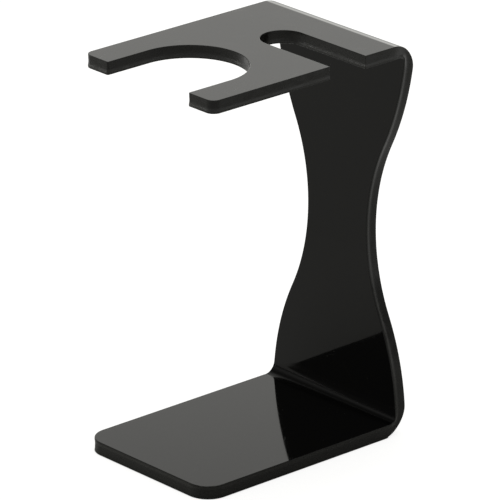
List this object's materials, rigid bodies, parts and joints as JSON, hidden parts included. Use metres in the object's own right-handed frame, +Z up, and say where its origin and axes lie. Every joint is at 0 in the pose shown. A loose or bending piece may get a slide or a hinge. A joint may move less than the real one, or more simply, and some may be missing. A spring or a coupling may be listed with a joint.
{
  "type": "razor stand",
  "caption": "Free-standing C-shaped stand bent from black gloss acrylic sheet, with a U-shaped brush notch and an open-sided razor slot.",
  "frame": {"origin": "middle of the bounding box in X and Y, at the underside of the base, which is the level the stand rests on", "axes": "+Z up; the prongs of the top plate point to -Y and the upright stands at +Y; +X is the side where the razor slot opens"},
  "size_m": [0.0684, 0.0984, 0.15],
  "materials": {
    "black_acrylic": "black cast acrylic sheet: mirror-gloss faces, slightly duller cut edges"
  },
  "bodies": {
    "root": {"stand_body": "black_acrylic"}
  },
  "joints": []
}
